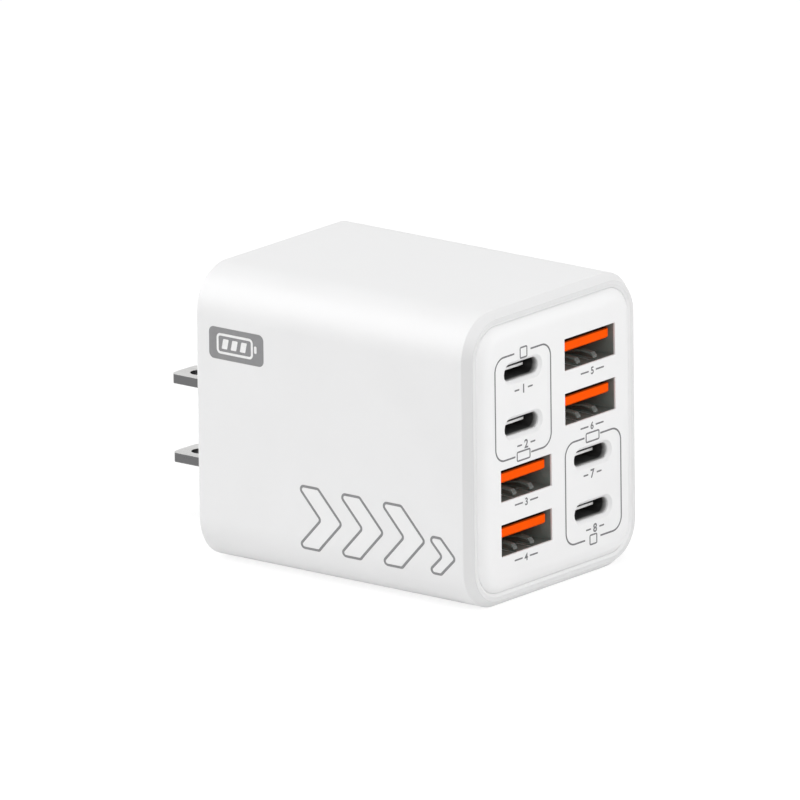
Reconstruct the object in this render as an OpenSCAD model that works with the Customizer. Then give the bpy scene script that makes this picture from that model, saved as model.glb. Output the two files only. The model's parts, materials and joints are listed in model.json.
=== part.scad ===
// Mains wall charger with eight outlets, in millimetres.
// A moulded sleeve is closed by a port panel in front and by a cover that carries the plug blades behind.
// It stands on its flat bottom at z = 0. The ports face -Y and the blades point along +Y.

/* [Sleeve] */
// Width of the sleeve
body_w = 42; // [41:0.5:52]
// Height of the sleeve
body_h = 47; // [45:0.5:58]
// Length of the sleeve, from the front lip to the rear rim
body_l = 54; // [53:0.5:68]
// Outer radius of the four long corners
corner_r = 7.1; // [6.4:0.1:8]
// Thickness of the sleeve's wall
wall = 1.8; // [1.4:0.1:2.2]
// Bevel round the rear rim
rear_bevel = 0.5; // [0.2:0.1:0.9]
// Thickness of the two pairs of rails that hold the main board
rail_t = 1.2; // [0.8:0.1:1.6]
// Height of those rails above the wall
rail_h = 2; // [1.2:0.1:2.6]

/* [Front edge] */
// How far the front bevel cuts in from the side
bevel_in = 1.1; // [0.8:0.1:1.5]
// Length of the front bevel along the sleeve
bevel_l = 1.4; // [0.8:0.1:1.8]
// Width of the flat lip inside the bevel
lip_w = 0.65; // [0.4:0.05:0.9]
// Width of the slope from the lip down to the panel
groove_w = 0.5; // [0.3:0.05:0.8]
// Drop of that slope
groove_d = 0.3; // [0.15:0.05:0.6]
// Depth of the seat for the panel's edge
seat_d = 1.1; // [0.8:0.1:1.6]
// Width of the ledge that the panel's edge rests on
ledge_w = 0.85; // [0.6:0.05:1.1]
// Thickness of the ledge
ledge_t = 1; // [0.8:0.1:1.5]

/* [Panel] */
// How far the panel's face stands ahead of the lip
panel_proud = 0.8; // [0.5:0.1:1.2]
// Width of the rounded edge of the panel
pillow_w = 2.3; // [1.6:0.1:2.8]
// Thickness of the panel's plate
panel_t = 1.8; // [1.4:0.1:2.2]
// Wall of the skirt behind the panel
skirt_t = 1.2; // [0.8:0.1:1.4]
// Length of the skirt behind the ledge
skirt_l = 2.5; // [1.5:0.1:4]
// Gap between the panel and the sleeve
panel_gap = 0.05; // [0.02:0.01:0.1]

/* [Port layout] */
// Distance between rows of ports
port_pitch = 8.7; // [8.5:0.1:9.5]
// Height of the middle of the rows above the middle of the sleeve
port_rise = 0.3; // [0:0.1:0.8]
// Distance of the wide ports from the middle
wide_x = 8; // [7.6:0.1:8.3]
// Distance of the narrow ports from the middle
narrow_x = 8.5; // [7:0.1:9.5]
// Depth from the panel's face to the port board
port_depth = 13.8; // [12.5:0.1:14.5]
// Thickness of the sheet metal of the shells
sheet_t = 0.3; // [0.25:0.05:0.35]
// Gap round a shell in its collar
nose_gap = 0.05; // [0.02:0.01:0.1]
// Wall of the collars behind the panel
collar_t = 0.8; // [0.6:0.1:0.9]
// Length of the collars behind the plate
collar_l = 2.5; // [1.5:0.1:4]

/* [Wide port] */
// Width of the wide port's opening
wide_w = 12.5; // [12.4:0.05:12.6]
// Height of the wide port's opening
wide_h = 5.12; // [5.05:0.01:5.2]
// Thickness of the panel in front of the wide shell
wide_lip = 0.3; // [0.2:0.05:0.6]
// Width of the wide port's tongue
tongue_w = 11.1; // [10.8:0.1:11.3]
// Thickness of the wide port's tongue
tongue_t = 1.65; // [1.5:0.05:1.95]
// Gap above the wide port's tongue
tongue_gap = 0.8; // [0.5:0.05:0.9]
// How far the tongue ends behind the shell's mouth
tongue_back = 0.55; // [0.4:0.05:1.2]
// Thickness of the block that carries the tongue
wide_base_l = 3; // [2:0.1:4]
// Width of a contact
contact_w = 1; // [0.8:0.05:1.2]
// Thickness of a contact
contact_t = 0.2; // [0.15:0.05:0.3]
// Distance of the inner contacts from the middle
contact_in = 1; // [0.9:0.05:1.1]
// Distance of the outer contacts from the middle
contact_out = 3.5; // [3.3:0.1:3.7]
// How far a contact bows out of the tongue
contact_bow = 0.35; // [0.2:0.05:0.5]
// Width of a leaf spring
leaf_w = 0.9; // [0.8:0.05:1.6]
// Distance between the two leaf springs
leaf_pitch = 4.2; // [3.6:0.1:5.4]
// Distance from the mouth to the tip of a leaf
leaf_tip_d = 0.35; // [0.3:0.05:0.8]
// Length of a leaf, from its tip to its root
leaf_l = 8.6; // [7:0.1:9]
// Height of a leaf's crest above the floor
leaf_crest = 1.33; // [0.9:0.05:1.6]
// Height of the bend where a leaf turns down to its tip
leaf_bend = 1.15; // [0.7:0.05:1.3]
// Height of the tip above the floor
leaf_tip = 0.65; // [0.3:0.05:0.8]
// Distance from a leaf's bend back to its crest
leaf_run = 1.9; // [1.5:0.1:3]
// Gap beside a leaf in the window it is cut from
leaf_gap = 0.15; // [0.1:0.05:0.3]
// Width of a wide shell's leg
leg_w = 1.6; // [1:0.1:2]
// Bevel along the nose of the wide tongue
tongue_nose = 0.3; // [0.1:0.05:0.5]
// Distance from the nose of the tongue to its contacts
contact_start = 1; // [0.6:0.1:1.5]
// Length of a contact's bow
contact_bow_l = 4.4; // [3:0.1:5]
// Length of the flat crest of that bow
contact_crest_l = 0.6; // [0.3:0.1:1]

/* [Narrow port] */
// Width of the narrow port's opening
narrow_w = 8.34; // [8.3:0.02:8.4]
// Height of the narrow port's opening
narrow_h = 2.56; // [2.5:0.02:2.6]
// Bevel round the slot in the panel
slot_bevel = 0.5; // [0.2:0.02:0.6]
// Straight part of the slot behind its bevel
slot_land = 0.24; // [0.15:0.01:0.4]
// Gap between the slot's edge and the shell's opening
slot_gap = 0.05; // [0:0.01:0.1]
// Width of the narrow port's tongue
narrow_tongue_w = 6.69; // [6.6:0.01:6.8]
// Thickness of the narrow port's tongue
narrow_tongue_t = 0.66; // [0.6:0.02:0.76]
// How far the narrow tongue ends behind the shell's mouth
narrow_tongue_back = 2; // [1:0.1:2.4]
// Depth from the mouth to the block that carries the narrow tongue
narrow_base_d = 6.2; // [5.8:0.1:7]
// Contacts on each side of the narrow tongue
pad_count = 12; // [6:2:12]
// Distance between those contacts
pad_pitch = 0.5; // [0.48:0.01:0.55]
// Width of one of those contacts
pad_w = 0.25; // [0.2:0.01:0.3]
// Thickness of one of those contacts
pad_t = 0.1; // [0.06:0.01:0.12]
// Distance from the nose of the narrow tongue to its contacts
pad_start = 0.5; // [0.3:0.1:0.8]
// Width of a narrow shell's leg
narrow_leg_w = 0.8; // [0.6:0.1:1.2]

/* [Rear cover] */
// Thickness of the sleeve's wall beside the cover
cover_wall = 1.2; // [0.9:0.1:1.3]
// Thickness of the cover's plate inside the rim
cover_t = 2.5; // [2:0.1:3.5]
// How far the cover stands behind the rim
cover_proud = 0.5; // [0.3:0.1:1]
// Bevel round the cover's raised edge
cover_bevel = 0.4; // [0.2:0.05:0.6]
// Gap between the cover and the sleeve
cover_gap = 0.05; // [0.02:0.01:0.1]
// Wall of the cover's locating skirt
cover_skirt_t = 1; // [0.8:0.1:1.4]
// Length of the cover's locating skirt
cover_skirt_l = 2; // [1:0.1:2.5]
// Width of the raised plinth round the blades
plinth_w = 13; // [11:0.5:16]
// Height of the raised plinth above the cover's face
plinth_h = 1.7; // [1:0.1:2.2]
// Margin of the plinth beyond the blades' centres
plinth_margin = 6.5; // [5:0.5:8]
// Bevel round the raised plinth
plinth_bevel = 0.5; // [0.2:0.1:0.8]
// Wall of the bosses round the blades inside the cover
boss_wall = 1.5; // [1:0.1:2]
// Length of those bosses
boss_l = 3.5; // [2:0.1:4]

/* [Plug] */
// Width of a blade
blade_w = 6.35; // [6.25:0.05:6.45]
// Thickness of a blade
blade_t = 1.5; // [1.4:0.02:1.6]
// Distance between the centres of the blades
blade_pitch = 12.7; // [12.4:0.1:13]
// How far the blades reach out of the plinth
blade_out = 18.3; // [15.9:0.1:18.3]
// Height of the middle of the plug above the sleeve's bottom
plug_z = 16; // [15.5:0.1:18]
// Height of the crown at the blade's tip
blade_crown = 1.4; // [0.6:0.1:2.4]
// Bevel along the blade's tip
blade_bevel = 0.3; // [0.1:0.05:0.5]
// Diameter of the hole in a blade
blade_hole_d = 3.2; // [2.9:0.1:3.4]
// Distance of that hole from the plinth's face
blade_hole_y = 14.1; // [11:0.1:14.5]
// Length of the blade's tail inside its boss
blade_tail = 5; // [4:0.1:6]
// Thickness of the spring clip on the tail
clip_t = 0.5; // [0.3:0.05:0.6]
// Length of the clip
clip_l = 4; // [3:0.1:4.5]
// How far the clip's lips flare
clip_flare = 0.5; // [0.2:0.05:0.8]
// How far the clip reaches past the middle of the tail
clip_reach = 2.4; // [1:0.1:3]

/* [Boards] */
// Thickness of the circuit boards
board_t = 1.2; // [1:0.1:1.6]
// Gap between a board and the sleeve's wall
board_gap = 0.3; // [0.15:0.05:0.6]
// Gap between the main board and its rails
rail_gap = 0.1; // [0.05:0.01:0.15]
// Place of the main board's component face, from the middle
board_x = 8; // [7.5:0.1:8.5]
// Gap between the main board and the cover's bosses
board_end_gap = 0.6; // [0.4:0.1:1]
// Room round a leg or a pin in its board slot
slot_room = 0.15; // [0.1:0.05:0.2]

/* [Transformer] */
// Length of the ferrite core
core_l = 16; // [14:0.5:18]
// Width of the ferrite core
core_w = 13.5; // [12:0.5:14]
// Height of one core half
core_h = 7; // [6:0.5:8]
// Thickness of the core's back and outer legs
core_t = 2.4; // [2:0.1:2.8]
// Diameter of the core's middle post
post_d = 5.5; // [4.5:0.1:6.5]
// Wall of the bobbin
bobbin_t = 0.7; // [0.5:0.05:1]
// How far the bobbin's flanges stand out beside the core
flange_out = 0.75; // [0.4:0.05:1.2]
// Gap between the bobbin's flanges and the core's legs
bobbin_gap = 0.15; // [0.1:0.05:0.3]
// Gap between the winding and the edge of the bobbin's flanges
winding_gap = 0.5; // [0.2:0.1:1]
// Distance of the transformer from the port board
transformer_y = 1.2; // [0.8:0.1:2]
// Distance of the transformer's middle from the top wall
transformer_drop = 10.4; // [9.5:0.1:11]

/* [Components] */
// Diameter of the bulk capacitors
bulk_d = 9; // [8:0.5:10]
// Height of the bulk capacitors
bulk_h = 20; // [16:0.5:22]
// Diameter of the output capacitors
output_d = 6; // [5:0.1:6.3]
// Height of the output capacitors
output_h = 8; // [6:0.5:9]
// Height of the output capacitors' row above the bulk capacitors
output_lift = 3; // [2:0.1:4]
// Depth of the crimp round a capacitor's can
crimp_d = 0.35; // [0.2:0.05:0.4]
// Height of that crimp above the can's foot
crimp_lift = 1.4; // [1:0.1:2]
// Gap between neighbours in a row of capacitors
row_gap = 0.8; // [0.4:0.1:1.2]
// Distance of the rows of capacitors from the port board
row_start = 1.6; // [1:0.1:2]
// Distance of the bulk capacitors from the bottom wall
bulk_lift = 2.2; // [1.5:0.1:3]
// Outer diameter of the line filter's core
choke_d = 8.5; // [7.5:0.5:9.5]
// Inner diameter of the line filter's core
choke_hole_d = 4.4; // [3.8:0.1:4.8]
// Height of the line filter's core
choke_h = 4; // [3:0.5:5]
// Thickness of the line filter's windings
choke_wire = 0.7; // [0.5:0.05:0.9]
// Angle that each winding covers, in degrees
winding_turn = 120; // [90:5:150]
// Distance of the line filter's middle from the top wall
choke_drop = 7.2; // [7:0.1:8.5]
// Distance of the line filter's middle from the cover's bosses
choke_y = 5.5; // [5:0.1:6]
// Length of the film capacitor
film_l = 10; // [8:0.5:11]
// Width of the film capacitor
film_w = 4; // [3.5:0.1:4.5]
// Height of the film capacitor
film_h = 9; // [8:0.5:11]
// Gap between the film capacitor and the upper clip below it
film_lift = 0.6; // [0.4:0.1:1.4]
// Diameter of the safety capacitor
disc_d = 6.5; // [5.5:0.5:7.5]
// Thickness of the safety capacitor
disc_t = 3; // [2.5:0.1:3.5]
// Diameter of the fuse
fuse_d = 4.4; // [4:0.1:5]
// Height of the fuse
fuse_h = 7; // [6:0.5:8]
// Distance of the fuse from the main board's rear end
fuse_y = 1.5; // [1:0.1:3]
// Distance of the fuse's middle from the top wall
fuse_drop = 5; // [4.8:0.1:5.4]
// Length of a surface-mounted power switch
switch_l = 7; // [6:0.5:8]
// Thickness of a power switch
switch_t = 0.9; // [0.7:0.1:1.2]
// Distance between the power switches
switch_pitch = 11; // [9:0.5:13]
// Gap between the heat spreader and the header
spreader_gap = 1; // [0.6:0.1:1.5]
// Thickness of the thermal pad
thermal_t = 1.2; // [0.8:0.1:1.6]
// Thickness of the heat spreader
spreader_t = 1; // [0.6:0.1:1.2]
// Height of the heat spreader
spreader_h = 28; // [24:0.5:30]
// Length of the heat spreader
spreader_l = 18; // [16:0.5:19]
// Width of the heat spreader's fold
spreader_fold = 3; // [2:0.1:3.5]
// Thickness of the insulating sheet
film_sheet_t = 0.25; // [0.15:0.05:0.4]
// Margin of the insulating sheet round the heat spreader
film_sheet_margin = 1; // [0.5:0.1:1.2]
// Length of a moulded choke on the port board
buck_l = 6.6; // [5:0.1:7]
// Height of a moulded choke
buck_t = 3; // [2:0.1:4]
// Distance between the moulded chokes
buck_pitch = 8; // [7.4:0.1:8.4]
// Distance of the moulded chokes from the middle, to the left
buck_x = 12.5; // [11.5:0.1:14]
// Height of the middle choke above the middle of the sleeve
buck_rise = 5; // [3:0.1:6]
// Width of the converter chips on the port board
chip_w = 4; // [3:0.5:5]
// Thickness of the converter chips
chip_t = 0.9; // [0.7:0.1:1.2]
// Distance between the converter chips
chip_pitch = 7.5; // [6:0.5:8]
// Distance of the converter chips from the middle, to the right
chip_x = 15; // [14.5:0.1:16]
// Length of the bridge rectifier
bridge_l = 7; // [6:0.5:8]
// Width of the bridge rectifier
bridge_w = 8; // [7:0.5:9]
// Thickness of the bridge rectifier
bridge_t = 1.9; // [1.5:0.1:3]
// Distance of the bridge rectifier from the main board's rear end
bridge_y = 2.5; // [1:0.1:3]
// Distance of the bridge rectifier's middle from the top wall
bridge_drop = 12; // [10:0.5:14]
// Length of a controller chip
control_l = 4; // [3:0.5:5]
// Width of a controller chip
control_w = 5; // [4:0.5:6]
// Thickness of a controller chip
control_t = 1.5; // [1:0.1:1.8]
// Distance between the controller chips
control_pitch = 10; // [8:0.5:12]
// Distance of the controller chips from the main board's rear end
control_y = 3; // [1:0.1:4]
// Width of the header that joins the boards
header_w = 2.5; // [2:0.1:3]
// Number of pins in that header
header_pins = 6; // [4:1:8]
// Distance between those pins
header_pitch = 2.54; // [2:0.01:3]
// Thickness of those pins
header_pin_t = 0.6; // [0.5:0.05:0.7]

/* [Hidden] */
port_numbers = [1 : 4];
$fn = 96;
fuse_in = 0.4;
through = 1;

// Distances out from the corner centres, and forward from the middle of the sleeve
across = body_w / 2 - corner_r;
upright = body_h / 2 - corner_r;
front = body_l / 2;
rear = -body_l / 2;
face = front + panel_proud;
inner_r = corner_r - wall;
lip_r = corner_r - bevel_in - lip_w;
seat_r = lip_r - groove_w;
seat = front - groove_d - seat_d;
ledge_r = seat_r - ledge_w;
ledge_back = seat - ledge_t;
panel_r = seat_r - panel_gap;
pillow_drop = panel_proud + groove_d;
pillow_r = (pillow_w * pillow_w + pillow_drop * pillow_drop) / (2 * pillow_drop);
skirt_r = ledge_r - panel_gap;
cover_r = corner_r - cover_wall - cover_gap;
cover_in = rear + cover_t;
cover_out = rear - cover_proud;
cover_skirt_r = inner_r - cover_gap;
plinth_out = cover_out - plinth_h;

// The ports
shell_w = wide_w + 2 * sheet_t;
shell_h = wide_h + 2 * sheet_t;
narrow_shell_w = narrow_w + 2 * sheet_t;
narrow_shell_h = narrow_h + 2 * sheet_t;
narrow_lip = slot_bevel + slot_land;
wide_l = port_depth - wide_lip;
narrow_l = port_depth - narrow_lip;
board_front = face - port_depth;
board_back = board_front - board_t;
tongue_top = wide_h / 2 - tongue_gap;
tongue_under = tongue_top - tongue_t;
floor_y = -wide_h / 2;
wide_ports = [for (i = [0 : 3]) [i < 2 ? wide_x : -wide_x, port_rise + (1.5 - i) * port_pitch]];
narrow_ports = [for (i = [0 : 3]) [i < 2 ? -narrow_x : narrow_x, port_rise + (1.5 - i) * port_pitch]];
wide_contact_x = [-contact_out, -contact_in, contact_in, contact_out];
contact_front = tongue_back + contact_start;
collar_wide = 2 * (nose_gap + collar_t);

// The plug, in the sleeve's own axes
plinth_y = -plinth_out;
boss_y = -cover_in - boss_l;
tail_y = boss_y - blade_tail;
tip_y = plinth_y + blade_out;
upper_z = plug_z + blade_pitch / 2;
lower_z = plug_z - blade_pitch / 2;

// The main board and what stands on it
main_y = -board_back;
main_end = boss_y - board_end_gap;
board_far = board_x + board_t;
rail_end = -cover_in - cover_skirt_l - board_gap;
ceiling = body_h - wall;
bulk_z = wall + bulk_lift + bulk_d / 2;
output_z = bulk_z + bulk_d / 2 + output_lift + output_d / 2;
film_z = upper_z + blade_t / 2 + clip_t + clip_flare + film_lift + film_w / 2;
row_y = main_y + row_start;
spreader_x = board_far + switch_t + thermal_t;
spreader_y = main_y + header_w + spreader_gap + spreader_l / 2;
spreader_z = body_h / 2;

// The header stands in the corner between the two boards, on the chip side
header_z = body_h / 2;
header_l = header_pins * header_pitch;
pin_x = board_far + header_w / 2;
pin_y = main_y + header_w / 2;
pin_z = [for (i = [0 : header_pins - 1]) header_z + (i - (header_pins - 1) / 2) * header_pitch];

// The transformer's bobbin and its winding
flange_l = core_l - 2 * (core_t + bobbin_gap);
flange_w = core_w + 2 * flange_out;
tube_r = post_d / 2 + bobbin_t;
winding_r = flange_l / 2 - winding_gap;
bobbin_h = 2 * (core_h - core_t);

// A plain frame that looks at the ports: x to the right, y up, z towards the viewer
module face_frame() {
    translate([0, 0, body_h / 2]) rotate([90, 0, 0]) children();
}

// A section in (distance out, distance forward), carried round the four sides and corners
module around_body() {
    for (turn = [0 : 3]) {
        side = turn % 2 == 0 ? across : upright;
        run = turn % 2 == 0 ? upright : across;
        rotate([0, 0, 90 * turn]) translate([side, run, 0]) {
            rotate_extrude(angle = 90) children();
            rotate([90, 0, 0]) linear_extrude(2 * run) children();
        }
    }
}

// The flat middle between the corner centres, from one depth to another
module core_slab(from, to) {
    translate([-across, -upright, from]) cube([2 * across, 2 * upright, to - from]);
}

// A section in (up, forward), drawn out sideways
module drawn_across(width) {
    translate([-width / 2, 0, 0]) rotate([90, 0, 90]) linear_extrude(width) children();
}

// A rectangle with round corners
module round_rectangle(w, h, r) {
    square([w - 2 * r, h], center = true);
    square([w, h - 2 * r], center = true);
    for (x = [-1, 1], y = [-1, 1]) translate([x * (w / 2 - r), y * (h / 2 - r)]) circle(r);
}

// A slot with round ends
module round_slot(w, h) {
    square([w - h, h], center = true);
    for (x = [-1, 1]) translate([x * (w - h) / 2, 0]) circle(h / 2);
}

// A slot-shaped body whose outline grows by one amount over its height
module flared_slot(w, h, grow, height) {
    span = w - h;
    for (x = [-1, 1]) translate([x * span / 2, 0, 0]) cylinder(height, h / 2, h / 2 + grow);
    drawn_across(span) polygon([[-h / 2, 0], [h / 2, 0], [h / 2 + grow, height], [-h / 2 - grow, height]]);
}

// The sleeve: its wall with the front bevel and lip, the seat and ledge for the panel and the rear rebate
module housing() {
    color("white") {
        face_frame() around_body() polygon([
            [corner_r, rear + rear_bevel],
            [corner_r, front - bevel_l],
            [corner_r - bevel_in, front],
            [lip_r, front],
            [seat_r, front - groove_d],
            [seat_r, seat],
            [ledge_r, seat],
            [ledge_r, ledge_back],
            [inner_r, ledge_back - (inner_r - ledge_r)],
            [inner_r, cover_in],
            [corner_r - cover_wall, cover_in],
            [corner_r - cover_wall, rear],
            [corner_r - rear_bevel, rear]
        ]);
        rails();
    }
}

// Two pairs of rails, on the bottom and top walls, that hold the main board's edges
module rails() {
    middle = board_x + board_t / 2;
    offset_x = board_t / 2 + rail_gap + rail_t / 2;
    for (x = [middle - offset_x, middle + offset_x], z = [wall - fuse_in, ceiling - rail_h])
        translate([x - rail_t / 2, main_y, z]) cube([rail_t, rail_end - main_y, rail_h + fuse_in]);
}

// The panel: a plate with a pillow-rounded edge, eight windows and a collar behind each
module front_panel() {
    color("white") face_frame() difference() {
        union() {
            around_body() panel_section();
            core_slab(face - panel_t, face);
            for (p = wide_ports) collar(p)
                square([shell_w + collar_wide, shell_h + collar_wide], center = true);
            for (p = narrow_ports) collar(p)
                round_slot(narrow_shell_w + collar_wide, narrow_shell_h + collar_wide);
        }
        for (p = wide_ports) translate([p[0], p[1], face]) wide_window();
        for (p = narrow_ports) translate([p[0], p[1], face]) narrow_window();
    }
}

// The collar behind one port, from its outline
module collar(place) {
    translate([place[0], place[1], face - panel_t - collar_l])
        linear_extrude(collar_l + fuse_in) children();
}

// The panel's edge: a plate with a pillow-rounded rim, a thick seat and a skirt
module panel_section() {
    flat_r = panel_r - pillow_w;
    skirt_in = skirt_r - skirt_t;
    edge = face - pillow_drop;
    translate([0, face - panel_t]) square([flat_r, panel_t]);
    translate([flat_r, face - panel_t]) square([pillow_w, panel_t - pillow_drop]);
    translate([skirt_in, seat]) square([panel_r - skirt_in, edge - seat]);
    translate([skirt_in, ledge_back - skirt_l]) square([skirt_t, edge - ledge_back + skirt_l]);
    intersection() {
        translate([flat_r, face - pillow_r]) circle(pillow_r);
        translate([flat_r, edge]) square([pillow_w, pillow_drop]);
    }
}

// The hole in front of a wide port: a thin lip, then a pocket for the shell's nose
module wide_window() {
    depth = panel_t + collar_l + through;
    translate([-wide_w / 2, -wide_h / 2, -depth]) cube([wide_w, wide_h, depth + through]);
    translate([-shell_w / 2 - nose_gap, -shell_h / 2 - nose_gap, -depth])
        cube([shell_w + 2 * nose_gap, shell_h + 2 * nose_gap, depth - wide_lip]);
}

// The hole in front of a narrow port: a bevelled slot, then a pocket for the shell's nose
module narrow_window() {
    depth = panel_t + collar_l + through;
    w = narrow_w + 2 * slot_gap;
    h = narrow_h + 2 * slot_gap;
    translate([0, 0, -depth]) linear_extrude(depth) round_slot(w, h);
    translate([0, 0, -slot_bevel]) flared_slot(w, h, 2 * slot_bevel, 2 * slot_bevel);
    translate([0, 0, -depth]) linear_extrude(depth - narrow_lip)
        round_slot(narrow_shell_w + 2 * nose_gap, narrow_shell_h + 2 * nose_gap);
}

// Puts a piece behind the panel at a port, with its mouth at z = 0 and its depth along -z
module at_port(place, lip) {
    face_frame() translate([place[0], place[1], face - lip]) children();
}

// A folded shell with two leaf springs in its floor and a leg on each side
module wide_shell() {
    color("slategray") {
        difference() {
            translate([-shell_w / 2, -shell_h / 2, -wide_l]) cube([shell_w, shell_h, wide_l]);
            translate([-wide_w / 2, -wide_h / 2, -wide_l - through])
                cube([wide_w, wide_h, wide_l + 2 * through]);
            for (x = [-1, 1]) translate([x * leaf_pitch / 2, 0, 0]) leaf_window();
        }
        for (x = [-1, 1]) translate([x * leaf_pitch / 2, 0, 0]) leaf();
        shell_legs(wide_w, leg_w, wide_l);
    }
}

// The window in the shell's floor that a leaf is cut from
module leaf_window() {
    w = leaf_w + 2 * leaf_gap;
    translate([-w / 2, floor_y - sheet_t - through, -leaf_tip_d - leaf_l])
        cube([w, sheet_t + 1.5 * through, leaf_l + leaf_gap]);
}

// A leaf rises from its root to a crest, runs forward to a bend and turns down to its tip
module leaf() {
    root = -leaf_tip_d - leaf_l;
    bend = -leaf_tip_d - (leaf_bend - leaf_tip);
    crest = bend - leaf_run;
    upper = [
        [floor_y, root], [floor_y + leaf_crest, crest],
        [floor_y + leaf_bend, bend], [floor_y + leaf_tip, -leaf_tip_d]
    ];
    drawn_across(leaf_w) polygon(concat(
        [[floor_y, root - leaf_gap]], upper,
        [for (i = [3 : -1 : 0]) upper[i] - [sheet_t, 0]],
        [[floor_y - sheet_t, root - leaf_gap]]
    ));
}

// A leg on each side of a shell, which ends flush with the back of the port board
module shell_legs(opening, width, length) {
    for (x = [-opening / 2 - sheet_t, opening / 2])
        translate([x, -width / 2, -length - board_t]) cube([sheet_t, width, board_t + fuse_in]);
}

// The moulded insulator of a wide port: a block at the rear and the tongue
module wide_tongue() {
    color("orangered") difference() {
        union() {
            translate([-wide_w / 2, -wide_h / 2, -wide_l]) cube([wide_w, wide_h, wide_base_l]);
            drawn_across(tongue_w) polygon([
                [tongue_under, -wide_l + fuse_in],
                [tongue_under, -tongue_back - tongue_nose],
                [tongue_under + tongue_nose, -tongue_back],
                [tongue_top - tongue_nose / 2, -tongue_back],
                [tongue_top, -tongue_back - tongue_nose / 2],
                [tongue_top, -wide_l + fuse_in]
            ]);
        }
        for (x = wide_contact_x) translate([x, 0, 0]) drawn_across(contact_w)
            polygon(strip_outline(-contact_front, -wide_l - through));
    }
}

// The straight strip that a contact lies in, flush with the tongue's lower face
function strip_outline(from, to) = [
    [tongue_under, from], [tongue_under + contact_t, from],
    [tongue_under + contact_t, to], [tongue_under, to]
];

// Four contacts: each lies in the tongue, bows out near its front end and runs back through the board
module wide_contacts() {
    middle = -contact_front - contact_bow_l / 2;
    crest = tongue_under - contact_bow;
    low = [
        [tongue_under, -contact_front - contact_bow_l], [crest, middle - contact_crest_l / 2],
        [crest, middle + contact_crest_l / 2], [tongue_under, -contact_front]
    ];
    color("gold") for (x = wide_contact_x) translate([x, 0, 0]) {
        drawn_across(contact_w) polygon(concat(
            [[tongue_under, -wide_l]], low,
            [for (i = [3 : -1 : 0]) low[i] + [contact_t, 0]],
            [[tongue_under + contact_t, -wide_l]]
        ));
        drawn_across(contact_w / 2) polygon(strip_outline(-wide_l, -wide_l - board_t));
    }
}

// A drawn shell with round ends and a leg on each side
module narrow_shell() {
    color("slategray") {
        translate([0, 0, -narrow_l]) linear_extrude(narrow_l) difference() {
            round_slot(narrow_shell_w, narrow_shell_h);
            round_slot(narrow_w, narrow_h);
        }
        intersection() {
            shell_legs(narrow_w, narrow_leg_w, narrow_l);
            translate([0, 0, -narrow_l - board_t]) linear_extrude(board_t)
                round_slot(narrow_shell_w, narrow_shell_h);
        }
    }
}

// The moulded insulator of a narrow port: a block with round ends and a thin tongue
module narrow_tongue() {
    color("whitesmoke") difference() {
        union() {
            translate([0, 0, -narrow_l]) linear_extrude(narrow_l - narrow_base_d)
                round_slot(narrow_w, narrow_h);
            translate([-narrow_tongue_w / 2, -narrow_tongue_t / 2, -narrow_l + fuse_in])
                cube([narrow_tongue_w, narrow_tongue_t, narrow_l - narrow_tongue_back - fuse_in]);
        }
        narrow_pads();
    }
}

// The contacts on both faces of the narrow tongue, which run back to the board
module narrow_pads() {
    length = narrow_l - narrow_tongue_back - pad_start;
    out = (narrow_tongue_t + pad_t) / 2;
    for (i = [0 : pad_count - 1], side = [-out, out])
        translate([(i - (pad_count - 1) / 2) * pad_pitch, side, -narrow_l + length / 2])
            cube([pad_w, pad_t, length], center = true);
}

// The contacts of a narrow port
module narrow_contacts() {
    color("gold") narrow_pads();
}

// The cover: a plate that fills the rear rebate, its skirt, the plinth and the blades' bosses
module rear_cover() {
    color("white") difference() {
        union() {
            face_frame() {
                around_body() union() {
                    polygon([
                        [0, cover_in], [cover_r, cover_in], [cover_r, rear],
                        [cover_r, cover_out + cover_bevel], [cover_r - cover_bevel, cover_out], [0, cover_out]
                    ]);
                    translate([cover_skirt_r - cover_skirt_t, cover_in - fuse_in])
                        square([cover_skirt_t, cover_skirt_l + fuse_in]);
                }
                core_slab(cover_out, cover_in);
            }
            plug_plinth();
            for (z = [upper_z, lower_z]) translate([0, boss_y, z]) blade_boss();
        }
        for (z = [upper_z, lower_z]) translate([-blade_w / 2, boss_y - through, z - blade_t / 2])
            cube([blade_w, plinth_y - boss_y + 2 * through, blade_t]);
    }
}

// A boss inside the cover, round one blade
module blade_boss() {
    translate([-blade_w / 2 - boss_wall, 0, -blade_t / 2 - boss_wall])
        cube([blade_w + 2 * boss_wall, boss_l + fuse_in, blade_t + 2 * boss_wall]);
}

// The raised plinth that the blades stand on
module plug_plinth() {
    length = blade_pitch + 2 * plinth_margin;
    straight = plinth_h - plinth_bevel;
    cut = 2 * plinth_bevel;
    translate([0, -cover_out, plug_z]) rotate([-90, 90, 0]) {
        translate([0, 0, -fuse_in]) linear_extrude(straight + fuse_in) round_slot(length, plinth_w);
        translate([0, 0, plinth_h]) mirror([0, 0, 1])
            flared_slot(length - cut, plinth_w - cut, plinth_bevel, plinth_bevel);
    }
}

// One flat blade with a crowned, bevelled tip and a round hole
module blade(z) {
    half = blade_w / 2;
    crown_r = (half * half + blade_crown * blade_crown) / (2 * blade_crown);
    shoulder = tip_y - blade_crown;
    color("silver") translate([0, 0, z]) intersection() {
        translate([0, 0, -blade_t / 2]) linear_extrude(blade_t) difference() {
            union() {
                translate([-half, tail_y]) square([blade_w, shoulder - tail_y]);
                intersection() {
                    translate([0, tip_y - crown_r]) circle(crown_r);
                    translate([-half, shoulder]) square([blade_w, blade_crown]);
                }
            }
            translate([0, plinth_y + blade_hole_y]) circle(d = blade_hole_d);
        }
        blade_side();
    }
}

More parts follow.
